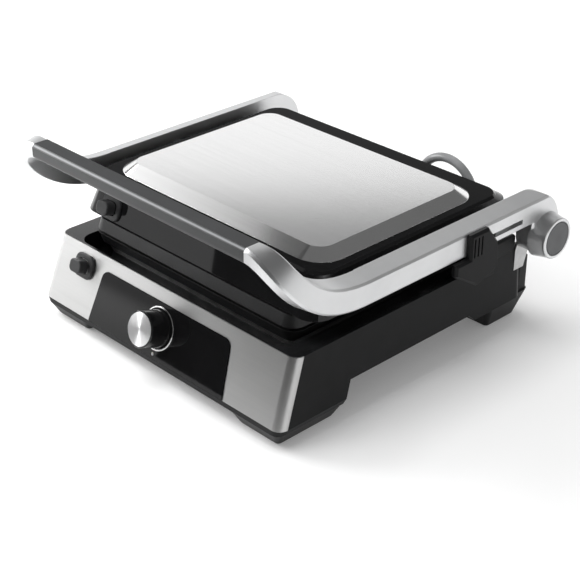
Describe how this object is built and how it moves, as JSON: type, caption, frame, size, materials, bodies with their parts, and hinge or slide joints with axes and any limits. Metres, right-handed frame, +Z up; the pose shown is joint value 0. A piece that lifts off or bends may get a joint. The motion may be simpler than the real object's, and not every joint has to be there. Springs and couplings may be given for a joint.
{
  "type": "electric contact grill",
  "caption": "Countertop contact grill with leaning front, control knob, ribbed plates, floating steel-topped lid and arms that sweep into a bar handle.",
  "frame": {"origin": "on the table, under the middle of the part's outline", "axes": "+X to the right as seen from the front, +Y to the back, +Z up"},
  "size_m": [0.428, 0.3934, 0.2047],
  "materials": {
    "base_plastic": "fine moulded grain, dark grey",
    "lid_plastic": "smooth black",
    "control_gloss": "polished black",
    "button_plastic": "fine grain, black",
    "handle_plastic": "soft dark grey grip",
    "cap_plastic": "smooth mid grey",
    "brushed_front": "brushed along the width",
    "brushed_lid": "satin brushed",
    "spun_metal": "spun in circles",
    "bright_ring": "polished",
    "arm_metal": "satin silver cast metal",
    "plate_metal": "dark non-stick coating",
    "sheet_metal": "mill finish sheet",
    "steel_fittings": "plain turned and pressed steel",
    "bush_metal": "plain bearing bronze",
    "pad_rubber": "soft non-slip",
    "conduit_rubber": "smooth grey sleeve",
    "gland_plastic": "moulded black",
    "lamp_lens": "clear white lens"
  },
  "bodies": {
    "base": {"base_shell": "base_plastic", "bottom_cover": "base_plastic", "cover_screws": "steel_fittings", "front_panel": "brushed_front", "control_panel": "control_gloss", "knob_ring": "bright_ring", "indicator_lamp": "lamp_lens", "thermostat": "base_plastic", "lower_release_bezel": "button_plastic", "lower_plate": "plate_metal", "lower_heater": "steel_fittings", "lower_reflector": "sheet_metal", "base_gland": "gland_plastic", "mains_gland": "gland_plastic", "supply_conduit": "conduit_rubber", "front_foot_left": "base_plastic", "front_foot_right": "base_plastic", "front_pad_left": "pad_rubber", "front_pad_right": "pad_rubber", "rear_foot_left": "base_plastic", "rear_foot_right": "base_plastic", "rear_pad_left": "pad_rubber", "rear_pad_right": "pad_rubber", "hinge_bracket_left": "steel_fittings", "hinge_bracket_right": "steel_fittings", "hinge_pin_left": "steel_fittings", "hinge_pin_right": "steel_fittings", "hinge_tower_left": "base_plastic", "hinge_tower_right": "base_plastic"},
    "arms": {"left_arm": "arm_metal", "right_arm": "arm_metal", "handle_bar": "handle_plastic", "handle_tie_rod": "steel_fittings", "hinge_bush_left": "bush_metal", "hinge_bush_right": "bush_metal", "hinge_cap_left": "cap_plastic", "hinge_cap_right": "cap_plastic", "pivot_pin_left": "steel_fittings", "pivot_pin_right": "steel_fittings"},
    "lid": {"lid_housing": "lid_plastic", "lid_cover": "brushed_lid", "upper_plate": "plate_metal", "upper_heater": "steel_fittings", "upper_reflector": "sheet_metal", "upper_release_bezel": "button_plastic", "lid_gland": "gland_plastic"},
    "knob": {"knob_body": "control_gloss", "knob_face": "spun_metal", "knob_shaft": "steel_fittings"},
    "lower_button": {"lower_release_button": "button_plastic"},
    "upper_button": {"upper_release_button": "button_plastic"},
    "lock": {"lock_slider": "button_plastic"}
  },
  "joints": [
    {"name": "arms_hinge", "type": "hinge", "parent": "base", "child": "arms", "pos_m": [0, 0.1722, 0.1083], "axis": [-1, 0, 0], "range_deg": [0, 180], "deforming": ["supply_conduit"]},
    {"name": "lid_float", "type": "hinge", "parent": "arms", "child": "lid", "pos_m": [0, 0.0127, 0.134], "axis": [1, 0, 0], "range_deg": [-0.9, 0.9], "deforming": ["supply_conduit"]},
    {"name": "knob_turn", "type": "hinge", "parent": "base", "child": "knob", "pos_m": [0, -0.16647, 0.05158], "axis": [0, 0.9391, -0.3437], "range_deg": [0, 270]},
    {"name": "lower_release_press", "type": "slide", "parent": "base", "child": "lower_button", "axis": [0, 0.9391, -0.3437], "range_m": [0, 0.003], "stiffness_N_per_m": 600, "springref_m": -0.002},
    {"name": "upper_release_press", "type": "slide", "parent": "lid", "child": "upper_button", "axis": [0, 0.9391, -0.3437], "range_m": [0, 0.003], "stiffness_N_per_m": 600, "springref_m": -0.002},
    {"name": "lock_slide", "type": "slide", "parent": "arms", "child": "lock", "axis": [0, 1, 0], "range_m": [0, 0.042]}
  ]
}
